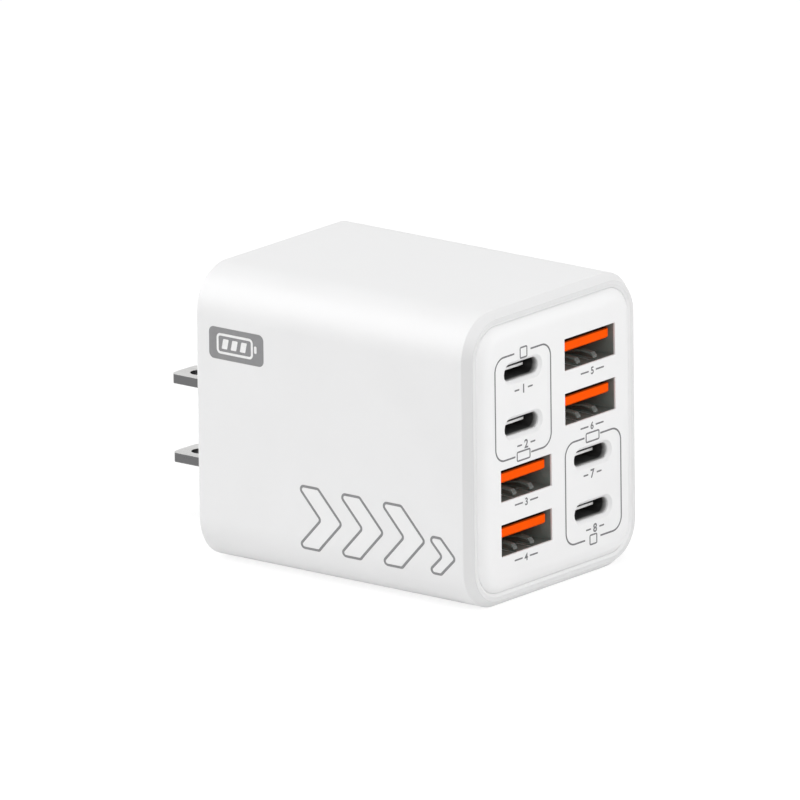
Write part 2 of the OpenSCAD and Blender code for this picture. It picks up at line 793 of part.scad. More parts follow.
// The blade seen from its side, with both edges of the tip bevelled
module blade_side() {
    slope = 3 * blade_bevel;
    translate([-blade_w, 0, 0]) rotate([90, 0, 90]) linear_extrude(2 * blade_w) polygon([
        [tail_y, -blade_t / 2], [tip_y - slope, -blade_t / 2], [tip_y, -blade_t / 2 + blade_bevel],
        [tip_y, blade_t / 2 - blade_bevel], [tip_y - slope, blade_t / 2], [tail_y, blade_t / 2]
    ]);
}

// A folded spring clip on the blade's tail, soldered by its edge to the main board
module blade_clip(z) {
    low = blade_t / 2;
    high = low + clip_t;
    bend = tail_y + clip_l;
    lip = bend + clip_flare;
    upper = [
        [tail_y - clip_t, high], [bend, high], [lip, high + clip_flare],
        [lip, low + clip_flare], [bend, low], [tail_y, low]
    ];
    lower = [for (i = [5 : -1 : 0]) [upper[i][0], -upper[i][1]]];
    color("goldenrod") translate([-clip_reach, 0, z]) rotate([90, 0, 90])
        linear_extrude(board_x + clip_reach) polygon(concat(upper, lower));
}

// The upright board behind the panel, with slots for legs, contacts and pins
module port_board() {
    w = body_w - 2 * (wall + board_gap);
    h = body_h - 2 * (wall + board_gap);
    color("seagreen") face_frame() difference() {
        translate([0, 0, board_back]) linear_extrude(board_t) round_rectangle(w, h, inner_r - board_gap);
        for (p = wide_ports) translate([p[0], p[1], board_front]) wide_board_slots();
        for (p = narrow_ports) translate([p[0], p[1], board_front])
            leg_slots(narrow_w / 2 + sheet_t / 2, narrow_leg_w);
        header_slots();
    }
}

// Two slots for a shell's legs
module leg_slots(side, width) {
    room = [sheet_t + 2 * slot_room, width + 2 * slot_room, board_t + 2 * through];
    for (x = [-side, side]) translate([x, 0, -board_t / 2]) cube(room, center = true);
}

// The slots for a wide port: two for its legs and four for its contacts
module wide_board_slots() {
    leg_slots(wide_w / 2 + sheet_t / 2, leg_w);
    room = [contact_w / 2 + 2 * slot_room, contact_t + 2 * slot_room, board_t + 2 * through];
    for (x = wide_contact_x) translate([x, tongue_under + contact_t / 2, -board_t / 2])
        cube(room, center = true);
}

// The board along the sleeve, which stands on edge between the rails
module main_board() {
    color("seagreen") difference() {
        translate([board_x, main_y, wall]) cube([board_t, main_end - main_y, ceiling - board_gap - wall]);
        header_holes();
    }
}

// The block that holds the pins between the two boards
module link_header() {
    color("dimgray") difference() {
        translate([board_far, main_y, header_z - header_l / 2]) cube([header_w, header_w, header_l]);
        link_pin_shapes();
    }
}

// The bent pins between the two boards
module link_pins() {
    color("gold") link_pin_shapes();
}

// Bent pins that end flush with the far faces of the two boards
module link_pin_shapes() {
    half = header_pin_t / 2;
    for (z = pin_z) translate([0, 0, z - half]) linear_extrude(header_pin_t) {
        translate([board_x, pin_y - half]) square([pin_x + half - board_x, header_pin_t]);
        translate([pin_x - half, main_y - board_t]) square([header_pin_t, header_w / 2 + board_t]);
    }
}

// Holes in the port board for the pins
module header_slots() {
    side = header_pin_t + 2 * slot_room;
    for (z = pin_z) translate([pin_x, z - body_h / 2, board_back + board_t / 2])
        cube([side, side, board_t + 2 * through], center = true);
}

// Holes in the main board for the pins
module header_holes() {
    side = header_pin_t + 2 * slot_room;
    for (z = pin_z) translate([board_x + board_t / 2, pin_y, z])
        cube([board_t + 2 * through, side, side], center = true);
}

// A place on the main board's component face: x points up, y to the rear, z away from the board
module on_board(y, z) {
    translate([board_x, y, z]) rotate([0, -90, 0]) children();
}

// A place on the other face of the main board: z points away from the board
module behind_board(y, z) {
    translate([board_far, y, z]) rotate([0, 90, 0]) children();
}

// The transformer's place: its middle at z = 0 on the board, its length along y
module at_transformer() {
    on_board(main_y + transformer_y + core_l / 2, ceiling - transformer_drop) children();
}

// One core half: a back, two outer legs and the middle post
module core_half() {
    translate([-core_w / 2, -core_l / 2, 0]) cube([core_w, core_l, core_t]);
    for (y = [-core_l / 2, core_l / 2 - core_t])
        translate([-core_w / 2, y, 0]) cube([core_w, core_t, core_h]);
    cylinder(core_h, d = post_d);
}

// The core half on the board
module transformer_core_inner() {
    color("dimgray") at_transformer() core_half();
}

// The core half turned over on top of it
module transformer_core_outer() {
    color("dimgray") at_transformer() translate([0, 0, 2 * core_h]) mirror([0, 0, 1]) core_half();
}

// The bobbin: a tube round the post with a rectangular flange at each end, between the core's legs
module transformer_bobbin() {
    color("khaki") at_transformer() translate([0, 0, core_t]) difference() {
        union() {
            cylinder(bobbin_h, r = tube_r);
            for (z = [0, bobbin_h - bobbin_t])
                translate([-flange_w / 2, -flange_l / 2, z]) cube([flange_w, flange_l, bobbin_t]);
        }
        translate([0, 0, -through]) cylinder(bobbin_h + 2 * through, d = post_d);
    }
}

// The wire and tape on the bobbin
module transformer_winding() {
    color("gold") at_transformer() translate([0, 0, core_t + bobbin_t]) rotate_extrude()
        translate([tube_r, 0]) square([winding_r - tube_r, bobbin_h - 2 * bobbin_t]);
}

// A wound capacitor in a can: a crimp above its foot and a rounded top
module can(d, h) {
    r = d / 2;
    neck = r - crimp_d;
    start = crimp_lift;
    end = start + 3 * crimp_d;
    rotate_extrude() polygon([
        [0, 0], [neck, 0], [r, crimp_d], [r, start], [neck, start + crimp_d], [neck, end - crimp_d],
        [r, end], [r, h - crimp_d], [neck, h], [0, h]
    ]);
}

// Two large cans in a row low on the board
module bulk_capacitors() {
    color("midnightblue") for (i = [0, 1])
        on_board(row_y + bulk_d / 2 + i * (bulk_d + row_gap), bulk_z) can(bulk_d, bulk_h);
}

// Three small cans in a row above them
module output_capacitors() {
    color("silver") for (i = [0 : 2])
        on_board(row_y + output_d / 2 + i * (output_d + row_gap), output_z) can(output_d, output_h);
}

// The line filter's place, lifted by its winding
module at_choke() {
    on_board(boss_y - choke_y, ceiling - choke_drop) translate([0, 0, choke_wire]) children();
}

// A ring that lies flat on the board
module line_filter_core() {
    color("darkslategray") at_choke() rotate_extrude()
        translate([choke_hole_d / 2, 0]) square([(choke_d - choke_hole_d) / 2, choke_h]);
}

// Two windings, each wrapped round a third of the core
module line_filter_winding() {
    w = (choke_d - choke_hole_d) / 2;
    color("chocolate") at_choke() for (turn = [0, 180]) rotate([0, 0, turn + (180 - winding_turn) / 2])
        rotate_extrude(angle = winding_turn) translate([choke_hole_d / 2, 0]) difference() {
            translate([-choke_wire, -choke_wire]) square([w + 2 * choke_wire, choke_h + 2 * choke_wire]);
            square([w, choke_h]);
        }
}

// A block above the upper blade's clip
module film_capacitor() {
    color("gold") on_board(boss_y - choke_y, film_z)
        translate([-film_w / 2, -film_l / 2, 0]) cube([film_w, film_l, film_h]);
}

// A disc capacitor on edge between the two clips, its faces up and down
module safety_capacitor() {
    color("royalblue") on_board(boss_y - disc_d / 2, plug_z)
        translate([-disc_t / 2, 0, disc_d / 2]) rotate([0, 90, 0]) cylinder(disc_t, d = disc_d);
}

// A small can on the board's other face, above the bridge rectifier
module fuse() {
    color("sienna") behind_board(main_end - fuse_y - fuse_d / 2, ceiling - fuse_drop) cylinder(fuse_h, d = fuse_d);
}

// A flat block at the rear of the board's other face
module bridge_rectifier() {
    color("black") behind_board(main_end - bridge_y - bridge_l / 2, ceiling - bridge_drop)
        translate([-bridge_w / 2, -bridge_l / 2, 0]) cube([bridge_w, bridge_l, bridge_t]);
}

// Two flat packages under the heat spreader
module power_switches() {
    color("black") for (side = [-1, 1])
        behind_board(spreader_y, spreader_z + side * switch_pitch / 2)
            translate([-switch_l / 2, -switch_l / 2, 0]) cube([switch_l, switch_l, switch_t]);
}

// Two small packages behind the plug
module controller_chips() {
    color("black") for (side = [-1, 1])
        behind_board(main_end - control_y - control_l / 2, plug_z + side * control_pitch / 2)
            translate([-control_w / 2, -control_l / 2, 0]) cube([control_w, control_l, control_t]);
}

// A soft pad from the switches to the heat spreader
module thermal_pad() {
    w = switch_pitch + switch_l;
    color("lightsteelblue") behind_board(spreader_y, spreader_z)
        translate([-w / 2, -switch_l / 2, switch_t]) cube([w, switch_l, thermal_t]);
}

// A plate against the thermal pad, folded outwards along its top
module heat_spreader() {
    color("lightgray") translate([spreader_x, spreader_y - spreader_l / 2, spreader_z - spreader_h / 2]) {
        cube([spreader_t, spreader_l, spreader_h]);
        translate([0, 0, spreader_h - spreader_t]) cube([spreader_t + spreader_fold, spreader_l, spreader_t]);
    }
}

// A thin sheet between the heat spreader and the sleeve
module insulating_sheet() {
    h = spreader_h - spreader_t;
    y = spreader_y - spreader_l / 2 - film_sheet_margin;
    z = spreader_z - spreader_h / 2 - film_sheet_margin;
    color("khaki") translate([spreader_x + spreader_t, y, z])
        cube([film_sheet_t, spreader_l + 2 * film_sheet_margin, h + film_sheet_margin]);
}

// Three moulded chokes in a column on the back of the port board
module port_chokes() {
    middle = body_h / 2 + buck_rise;
    color("dimgray") for (i = [-1 : 1])
        translate([-buck_x - buck_l / 2, main_y, middle + i * buck_pitch - buck_l / 2])
            cube([buck_l, buck_t, buck_l]);
}

// Four converter chips in a column on the back of the port board
module port_chips() {
    color("black") for (i = [-1.5 : 1.5])
        translate([chip_x - chip_w / 2, main_y, body_h / 2 + i * chip_pitch - chip_w / 2])
            cube([chip_w, chip_t, chip_w]);
}

housing();
front_panel();
rear_cover();
blade(upper_z);  // blade_upper
blade(lower_z);  // blade_lower
blade_clip(upper_z);  // blade_clip_upper
blade_clip(lower_z);  // blade_clip_lower
port_board();
main_board();
link_header();
link_pins();
for (n = port_numbers) {
    wide = wide_ports[n - 1];
    narrow = narrow_ports[n - 1];
    at_port(wide, wide_lip) wide_shell();
    at_port(wide, wide_lip) wide_tongue();
    at_port(wide, wide_lip) wide_contacts();
    at_port(narrow, narrow_lip) narrow_shell();
    at_port(narrow, narrow_lip) narrow_tongue();
    at_port(narrow, narrow_lip) narrow_contacts();
}
transformer_core_inner();
transformer_core_outer();
transformer_bobbin();
transformer_winding();
bulk_capacitors();
output_capacitors();
line_filter_core();
line_filter_winding();
film_capacitor();
safety_capacitor();
fuse();
bridge_rectifier();
power_switches();
controller_chips();
thermal_pad();
heat_spreader();
insulating_sheet();
port_chokes();
port_chips();
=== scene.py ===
# Eight-outlet wall charger, dressed for a plain studio picture.
# Everything is in metres and in the frame of the CAD model: +Z up, the outlets face -Y, the plug blades point along +Y.
import json
import math

import bpy
import numpy as np
from mathutils import Matrix, Vector


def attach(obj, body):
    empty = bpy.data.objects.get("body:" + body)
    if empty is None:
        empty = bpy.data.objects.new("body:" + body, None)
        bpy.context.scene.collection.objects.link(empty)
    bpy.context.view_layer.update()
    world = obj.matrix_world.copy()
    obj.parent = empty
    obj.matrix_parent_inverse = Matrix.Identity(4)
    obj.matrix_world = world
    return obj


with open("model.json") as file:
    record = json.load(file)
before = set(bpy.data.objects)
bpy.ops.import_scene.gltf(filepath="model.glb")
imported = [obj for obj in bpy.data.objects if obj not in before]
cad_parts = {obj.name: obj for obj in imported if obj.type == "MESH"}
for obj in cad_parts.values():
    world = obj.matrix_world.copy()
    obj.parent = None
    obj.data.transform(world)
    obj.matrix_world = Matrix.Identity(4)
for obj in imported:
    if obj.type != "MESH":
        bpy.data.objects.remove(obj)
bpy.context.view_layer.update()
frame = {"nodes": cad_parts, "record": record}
scene = bpy.context.scene
mm = 0.001
nodesByName = frame["nodes"]
slotOf = {part["node"]: part["material_slot"] for part in frame["record"]["subparts"]}
print("frame loaded:", len(nodesByName), "nodes")

view = {
    "turn": -51.0656,  # degrees round the object, from the outlets towards the left side
    "rise": 15.302,
    "roll": -0.7091,
    "lens": 1000.0,  # long, because the picture has no perspective to speak of
    "sensor": 36,
    "near": 0.1,
    "far": 30,
    "reach": 3.4341,
    "middle": (0.0, 0.0, 0.0235),
    "shiftRight": -0.0026765,  # from the middle of the sleeve to what the camera looks at
    "shiftUp": 0.0020708,
}


# Right, up and back axes of a camera that stands at a turn and a rise and leans by a roll
def cameraAxes(turn, rise, roll):
    back = Vector((math.sin(turn) * math.cos(rise), -math.cos(turn) * math.cos(rise), math.sin(rise)))
    level = Vector((math.cos(turn), math.sin(turn), 0))
    over = back.cross(level)
    right = level * math.cos(roll) + over * math.sin(roll)
    up = over * math.cos(roll) - level * math.sin(roll)
    return right, up, back


def makeCamera():
    right, up, back = cameraAxes(*(math.radians(view[angle]) for angle in ("turn", "rise", "roll")))
    aim = Vector(view["middle"]) + right * view["shiftRight"] + up * view["shiftUp"]
    lens = bpy.data.cameras.new("pictureCamera")
    lens.lens = view["lens"]
    lens.sensor_width = view["sensor"]
    lens.clip_start = view["near"]
    lens.clip_end = view["far"]
    camera = bpy.data.objects.new("pictureCamera", lens)
    turned = Matrix((right, up, back)).transposed().to_4x4()
    camera.matrix_world = Matrix.Translation(aim + back * view["reach"]) @ turned
    scene.collection.objects.link(camera)
    scene.camera = camera


makeCamera()
scene.view_settings.view_transform = "Standard"
print("camera set")


def addNode(tree, kind, **settings):
    node = tree.nodes.new("ShaderNode" + kind)
    for key, value in settings.items():
        setattr(node, key, value)
    return node


def setSockets(node, values):
    for key, value in values.items():
        node.inputs[key].default_value = value
    return node


def newMaterial(name):
    material = bpy.data.materials.new(name)
    material.use_nodes = True
    material.node_tree.nodes.clear()
    return material, material.node_tree


# A group that takes a place on the piece and the named inputs, and puts out plain values
def newGroup(name, inputs, outputs):
    group = bpy.data.node_groups.new(name, "ShaderNodeTree")
    group.interface.new_socket("Place", in_out="INPUT", socket_type="NodeSocketVector")
    for label, value in inputs.items():
        kind = "NodeSocketVector" if isinstance(value, tuple) else "NodeSocketFloat"
        socket = group.interface.new_socket(label, in_out="INPUT", socket_type=kind)
        socket.default_value = value
    for label in outputs:
        group.interface.new_socket(label, in_out="OUTPUT", socket_type="NodeSocketFloat")
    return group, group.nodes.new("NodeGroupInput"), group.nodes.new("NodeGroupOutput")


def useGroup(tree, group, place, values):
    node = tree.nodes.new("ShaderNodeGroup")
    node.node_tree = group
    tree.links.new(place, node.inputs["Place"])
    return setSockets(node, values)


def timesFactor(tree, value, factor):
    product = addNode(tree, "Math", operation="MULTIPLY")
    product.inputs[1].default_value = factor
    tree.links.new(value, product.inputs[0])
    return product.outputs[0]


def addNoise(tree, place, scale, values):
    noise = setSockets(addNode(tree, "TexNoise"), values)
    tree.links.new(place, noise.inputs["Vector"])
    tree.links.new(scale, noise.inputs["Scale"])
    return noise.outputs["Fac"]


# Turns a factor of 0 to 1 into a colour between two ends
def blendColours(tree, factor, low, high):
    mix = addNode(tree, "Mix", data_type="RGBA")
    mix.inputs["A"].default_value = (*low, 1)
    mix.inputs["B"].default_value = (*high, 1)
    tree.links.new(factor, mix.inputs["Factor"])
    return mix.outputs["Result"]


# Lays a second colour over a first where a mask is 1
def layOver(tree, body, colour, mask):
    mix = addNode(tree, "Mix", data_type="RGBA")
    mix.inputs["B"].default_value = (*colour, 1)
    tree.links.new(body, mix.inputs["A"])
    tree.links.new(mask, mix.inputs["Factor"])
    return mix.outputs["Result"]


# Goes from low to high as a value goes from one mark to another, and stays there beyond them;
# the marks that are set here take in most of a noise
def spread(tree, value, low, high, fromLow=0.3, fromHigh=0.7):
    marks = {"From Min": fromLow, "From Max": fromHigh, "To Min": low, "To Max": high}
    ramp = setSockets(addNode(tree, "MapRange"), marks)
    tree.links.new(value, ramp.inputs["Value"])
    return ramp.outputs["Result"]


# Shares of the normal along one axis at which a mask begins and is full; these masks place painted shade
turns = {
    "up": ("Z", 0.5, 0.85),
    "upright": ("Z", 0.85, 0.5),
    "front": ("Y", -0.08, -0.3),
}


# 1 on faces that are turned one way and 0 on the others; with either, the sign of the normal doesn't count
def turnMask(tree, way, either=False):
    axis, begins, full = turns[way]
    turned = addNode(tree, "NewGeometry")
    split = addNode(tree, "SeparateXYZ")
    tree.links.new(turned.outputs["Normal"], split.inputs[0])
    share = split.outputs[axis]
    if either:
        size = addNode(tree, "Math", operation="ABSOLUTE")
        tree.links.new(share, size.inputs[0])
        share = size.outputs[0]
    return spread(tree, share, 0, 1, begins, full)


# 1 in the upper strip of pieces that stand in rows, where painted shade goes: the height is wrapped from row to row and
# compared with a start
def shadeStripMask(tree, place, shadeStrip):
    split = addNode(tree, "SeparateXYZ")
    wrap = addNode(tree, "Math", operation="WRAP")
    wrap.inputs[1].default_value = shadeStrip["row"] + shadeStrip["pitch"] / 2
    wrap.inputs[2].default_value = shadeStrip["row"] - shadeStrip["pitch"] / 2
    tree.links.new(place, split.inputs[0])
    tree.links.new(split.outputs["Z"], wrap.inputs[0])
    start = shadeStrip["row"] + shadeStrip["start"]
    return spread(tree, wrap.outputs[0], 0, 1, start, start + shadeStrip["blur"])


grainLook = {
    "fine": {"Detail": 2.0, "Roughness": 0.55},
    "middle": {"Detail": 1.0},
    "middleScale": 0.31,  # as a share of the fine noise's
    "mottle": {"Detail": 3.0, "Roughness": 0.5},
}


# Fine spark-eroded grain of a mould: two sizes of noise added up as a height, and a slow mottle
def makeGrainGroup():
    group, start, end = newGroup("mouldGrain", {"Grain Scale": 5200.0, "Mottle Scale": 120.0}, ["Height", "Mottle"])
    place, scale = start.outputs["Place"], start.outputs["Grain Scale"]
    fine = addNoise(group, place, scale, grainLook["fine"])
    middle = addNoise(group, place, timesFactor(group, scale, grainLook["middleScale"]), grainLook["middle"])
    mottle = addNoise(group, place, start.outputs["Mottle Scale"], grainLook["mottle"])
    total = addNode(group, "Math", operation="ADD")
    group.links.new(fine, total.inputs[0])
    group.links.new(middle, total.inputs[1])
    group.links.new(total.outputs[0], end.inputs["Height"])
    group.links.new(mottle, end.inputs["Mottle"])
    return group


streakLook = {
    "lines": {"Detail": 4.0, "Roughness": 0.7},
    "broad": {"Detail": 2.0},
    "broadScale": 0.18,  # as a share of the lines'
}


# Rolling lines of sheet metal: noise squeezed along one axis, as a height and as a streak mask
def makeStreakGroup():
    inputs = {"Stretch": (1.0, 1.0, 1.0), "Scale": 900.0}
    group, start, end = newGroup("rolledStreaks", inputs, ["Height", "Streak"])
    squeeze = addNode(group, "VectorMath", operation="MULTIPLY")
    group.links.new(start.outputs["Place"], squeeze.inputs[0])
    group.links.new(start.outputs["Stretch"], squeeze.inputs[1])
    place, scale = squeeze.outputs[0], start.outputs["Scale"]
    lines = addNoise(group, place, scale, streakLook["lines"])
    broad = addNoise(group, place, timesFactor(group, scale, streakLook["broadScale"]), streakLook["broad"])
    group.links.new(lines, end.inputs["Height"])
    group.links.new(broad, end.inputs["Streak"])
    return group


edgeLook = {
    "samples": 4,
    "bend": (0.99, 0.86),  # cosines between the rounded and the true normal at which wear begins and is full
    "patch": {"Detail": 3.0},
    "patchFrom": (0.35, 0.65),
    "patchTo": (0.35, 1.0),  # how much wear is left where the noise is low, and where it is high
}


# Worn or rounded edges: 1 where the normal bends within a short radius, 0 on flat faces
def makeEdgeGroup():
    group, start, end = newGroup("edgeWear", {"Radius": 0.0002, "Break Scale": 900.0}, ["Mask"])
    rounded = addNode(group, "Bevel", samples=edgeLook["samples"])
    flat = addNode(group, "NewGeometry")
    cosine = addNode(group, "VectorMath", operation="DOT_PRODUCT")
    product = addNode(group, "Math", operation="MULTIPLY")
    group.links.new(start.outputs["Radius"], rounded.inputs["Radius"])
    group.links.new(rounded.outputs["Normal"], cosine.inputs[0])
    group.links.new(flat.outputs["Normal"], cosine.inputs[1])
    bend = spread(group, cosine.outputs["Value"], 0.0, 1.0, *edgeLook["bend"])
    patch = addNoise(group, start.outputs["Place"], start.outputs["Break Scale"], edgeLook["patch"])
    uneven = spread(group, patch, *edgeLook["patchTo"], *edgeLook["patchFrom"])
    group.links.new(bend, product.inputs[0])
    group.links.new(uneven, product.inputs[1])
    group.links.new(product.outputs[0], end.inputs["Mask"])
    return group


# Bands round a mouth, from how far forward a point lies, used for the sleeve's painted shade and the narrow shells'
# pale front: each mask is 1 past its start and 0 behind it
def makePaintedBandGroup():
    inputs = {"Bevel Start": 0.0256, "Lip Start": 0.0269, "Blur": 0.00012}
    group, start, end = newGroup("mouthBands", inputs, ["Bevel", "Lip"])
    split = addNode(group, "SeparateXYZ")
    group.links.new(start.outputs["Place"], split.inputs[0])
    forward = timesFactor(group, split.outputs["Y"], -1)
    for label in ("Bevel", "Lip"):
        past = addNode(group, "Math", operation="SUBTRACT")
        soft = addNode(group, "Math", operation="DIVIDE", use_clamp=True)
        group.links.new(forward, past.inputs[0])
        group.links.new(start.outputs[label + " Start"], past.inputs[1])
        group.links.new(past.outputs[0], soft.inputs[0])
        group.links.new(start.outputs["Blur"], soft.inputs[1])
        group.links.new(soft.outputs[0], end.inputs[label])
    return group


grainGroup = makeGrainGroup()
streakGroup = makeStreakGroup()
edgeGroup = makeEdgeGroup()
paintedBandGroup = makePaintedBandGroup()
bumpDepth = 0.00001


# Puts a fine relief on a shader, and the shader on the surface
def closeMaterial(tree, shader, height, strength):
    bump = setSockets(addNode(tree, "Bump"), {"Strength": strength, "Distance": bumpDepth})
    out = addNode(tree, "OutputMaterial")
    tree.links.new(height, bump.inputs["Height"])
    tree.links.new(bump.outputs["Normal"], shader.inputs["Normal"])
    tree.links.new(shader.outputs[0], out.inputs["Surface"])


plasticBase = {
    "shade": 0.015,  # how far the colour goes up and down with the mottle
    "gloss": (0.88, 1.12),  # shares of the roughness between which it goes
    "bump": 0.25,
    "ior": 1.46,
    "coat": 0.0,
    "coatRough": 0.12,
    "mouth": {},  # tone of each band round the mouth, which is painted shade
}


# Moulded plastic: a slow mottle in colour and gloss, and a fine grain as bump; some pieces also get painted shade
def mouldedPlastic(name, look):
    look = {**plasticBase, **look}
    material, tree = newMaterial(name)
    place = addNode(tree, "TexCoord").outputs["Object"]
    grain = useGroup(tree, grainGroup, place, {"Grain Scale": look["grain"], "Mottle Scale": look["mottle"]})
    mottle = grain.outputs["Mottle"]
    shader = setSockets(addNode(tree, "BsdfPrincipled"), {
        "IOR": look["ior"],
        "Coat Weight": look["coat"],
        "Coat Roughness": look["coatRough"],
    })
    tint, shade = np.array(look["colour"]), look["shade"]
    body = blendColours(tree, spread(tree, mottle, 0, 1), tint * (1 - shade), np.minimum(tint * (1 + shade), 1))
    # Painted shade: the bands round the sleeve's mouth are darkened, the bevel a little and the lip more
    for band, tone in look["mouth"].items():
        mouth = useGroup(tree, paintedBandGroup, place, {})
        body = layOver(tree, body, tint * tone, mouth.outputs[band])
    # Painted shade: faces turned up get a near-black colour, the shade over a tongue's upper face
    if "top" in look:
        body = layOver(tree, body, look["top"], turnMask(tree, "up"))
    # Painted shade: a near-black strip at the top of each row's pale tongue
    if "shadeStrip" in look:
        body = layOver(tree, body, look["top"], shadeStripMask(tree, place, look["shadeStrip"]))
    rough = spread(tree, mottle, *(look["rough"] * share for share in look["gloss"]))
    tree.links.new(body, shader.inputs["Base Color"])
    tree.links.new(rough, shader.inputs["Roughness"])
    closeMaterial(tree, shader, grain.outputs["Height"], look["bump"])
    return material


metalBase = {
    "gloss": (0.8, 1.25),
    "bump": 0.2,
    "ior": 1.6,
    "metallic": 1.0,
}


# Sheet metal: rolling lines as bump and gloss, a broad tarnish, and brighter worn edges;
# a stamped blade's upright sides get a far darker colour, painted shade for the darker reflection they show
def sheetMetal(name, look):
    look = {**metalBase, **look}
    material, tree = newMaterial(name)
    place = addNode(tree, "TexCoord").outputs["Object"]
    streaks = useGroup(tree, streakGroup, place, {"Stretch": look["stretch"], "Scale": look["lines"]})
    edges = useGroup(tree, edgeGroup, place, {"Radius": look["edge"], "Break Scale": look["lines"]})
    shader = setSockets(addNode(tree, "BsdfPrincipled"), {"Metallic": look["metallic"], "IOR": look["ior"]})
    body = blendColours(tree, spread(tree, streaks.outputs["Streak"], 0, 1), look["dark"], look["light"])
    # Painted shade: upright sides get a far darker colour
    if "cut" in look:
        body = layOver(tree, body, look["cut"], turnMask(tree, "upright", either=True))
    # Painted shade: faces turned up get a darker colour
    if "top" in look:
        body = layOver(tree, body, look["top"], turnMask(tree, "up"))
    # Painted shade: faces turned forward get a darker colour
    if "front" in look:
        body = layOver(tree, body, look["front"], turnMask(tree, "front"))
    if "mouth" in look:
        band = look["mouth"]
        mouth = useGroup(tree, paintedBandGroup, place, {"Bevel Start": band["start"], "Blur": band["blur"]})
        body = layOver(tree, body, band["colour"], mouth.outputs["Bevel"])
    body = layOver(tree, body, look["worn"], edges.outputs["Mask"])
    rough = spread(tree, streaks.outputs["Height"], *(look["rough"] * share for share in look["gloss"]))
    tree.links.new(body, shader.inputs["Base Color"])
    tree.links.new(rough, shader.inputs["Roughness"])
    closeMaterial(tree, shader, streaks.outputs["Height"], look["bump"])
    return material


plastics = {
    # The sleeve's mouth bands are painted shade: the bevel a little darker, the lip darker still
    "sleeve_plastic": {"colour": (0.82, 0.82, 0.822), "rough": 0.42, "grain": 5200, "mottle": 90, "shade": 0.008, "bump": 0.2,
                       "mouth": {"Bevel": 0.94, "Lip": 0.85}},
    "panel_plastic": {"colour": (0.82, 0.82, 0.822), "rough": 0.45, "grain": 5200, "mottle": 90, "shade": 0.008, "bump": 0.2},
    # The orange and pale tongues' faces turned up are near black, which is painted shade
    "orange_insulator": {"colour": (1.0, 0.095, 0.0), "rough": 0.6, "grain": 9000, "mottle": 500, "shade": 0.03, "ior": 1.1,
                         "top": (0.03, 0.006, 0.002)},
    "pale_insulator": {"colour": (0.97, 0.97, 0.96), "rough": 0.4, "grain": 9000, "mottle": 500, "top": (0.02, 0.02, 0.02),
                       "shadeStrip": {"row": 0.02815, "pitch": 0.0087, "start": 0.00004, "blur": 0.00003}},  # painted shade: a near-black strip along the top of each pale tongue, for the dark gap above it
    "header_plastic": {"colour": (0.03, 0.03, 0.03), "rough": 0.5, "grain": 7000, "mottle": 300, "shade": 0.1},
    "board_green": {"colour": (0.03, 0.2, 0.09), "rough": 0.35, "grain": 4000, "mottle": 260, "shade": 0.12, "coat": 0.4},
    "ferrite": {"colour": (0.045, 0.045, 0.05), "rough": 0.6, "grain": 6000, "mottle": 300, "shade": 0.12, "bump": 0.5},
    "bobbin_plastic": {"colour": (0.62, 0.57, 0.4), "rough": 0.45, "grain": 7000, "mottle": 300},
    "tape_yellow": {"colour": (0.8, 0.55, 0.08), "rough": 0.25, "grain": 2500, "mottle": 400, "coat": 0.5},
    "capacitor_sleeve": {"colour": (0.03, 0.04, 0.12), "rough": 0.28, "grain": 3000, "mottle": 300, "coat": 0.4, "shade": 0.08},
    "disc_blue": {"colour": (0.04, 0.2, 0.5), "rough": 0.3, "grain": 3000, "mottle": 400, "coat": 0.4},
    "fuse_case": {"colour": (0.2, 0.09, 0.04), "rough": 0.4, "grain": 5000, "mottle": 300},
    "chip_plastic": {"colour": (0.02, 0.02, 0.022), "rough": 0.55, "grain": 9000, "mottle": 400, "shade": 0.1, "bump": 0.4},
    "thermal_grey": {"colour": (0.4, 0.45, 0.5), "rough": 0.8, "grain": 3000, "mottle": 400, "bump": 0.6},
    "sheet_film": {"colour": (0.7, 0.6, 0.3), "rough": 0.3, "grain": 3000, "mottle": 200},
}
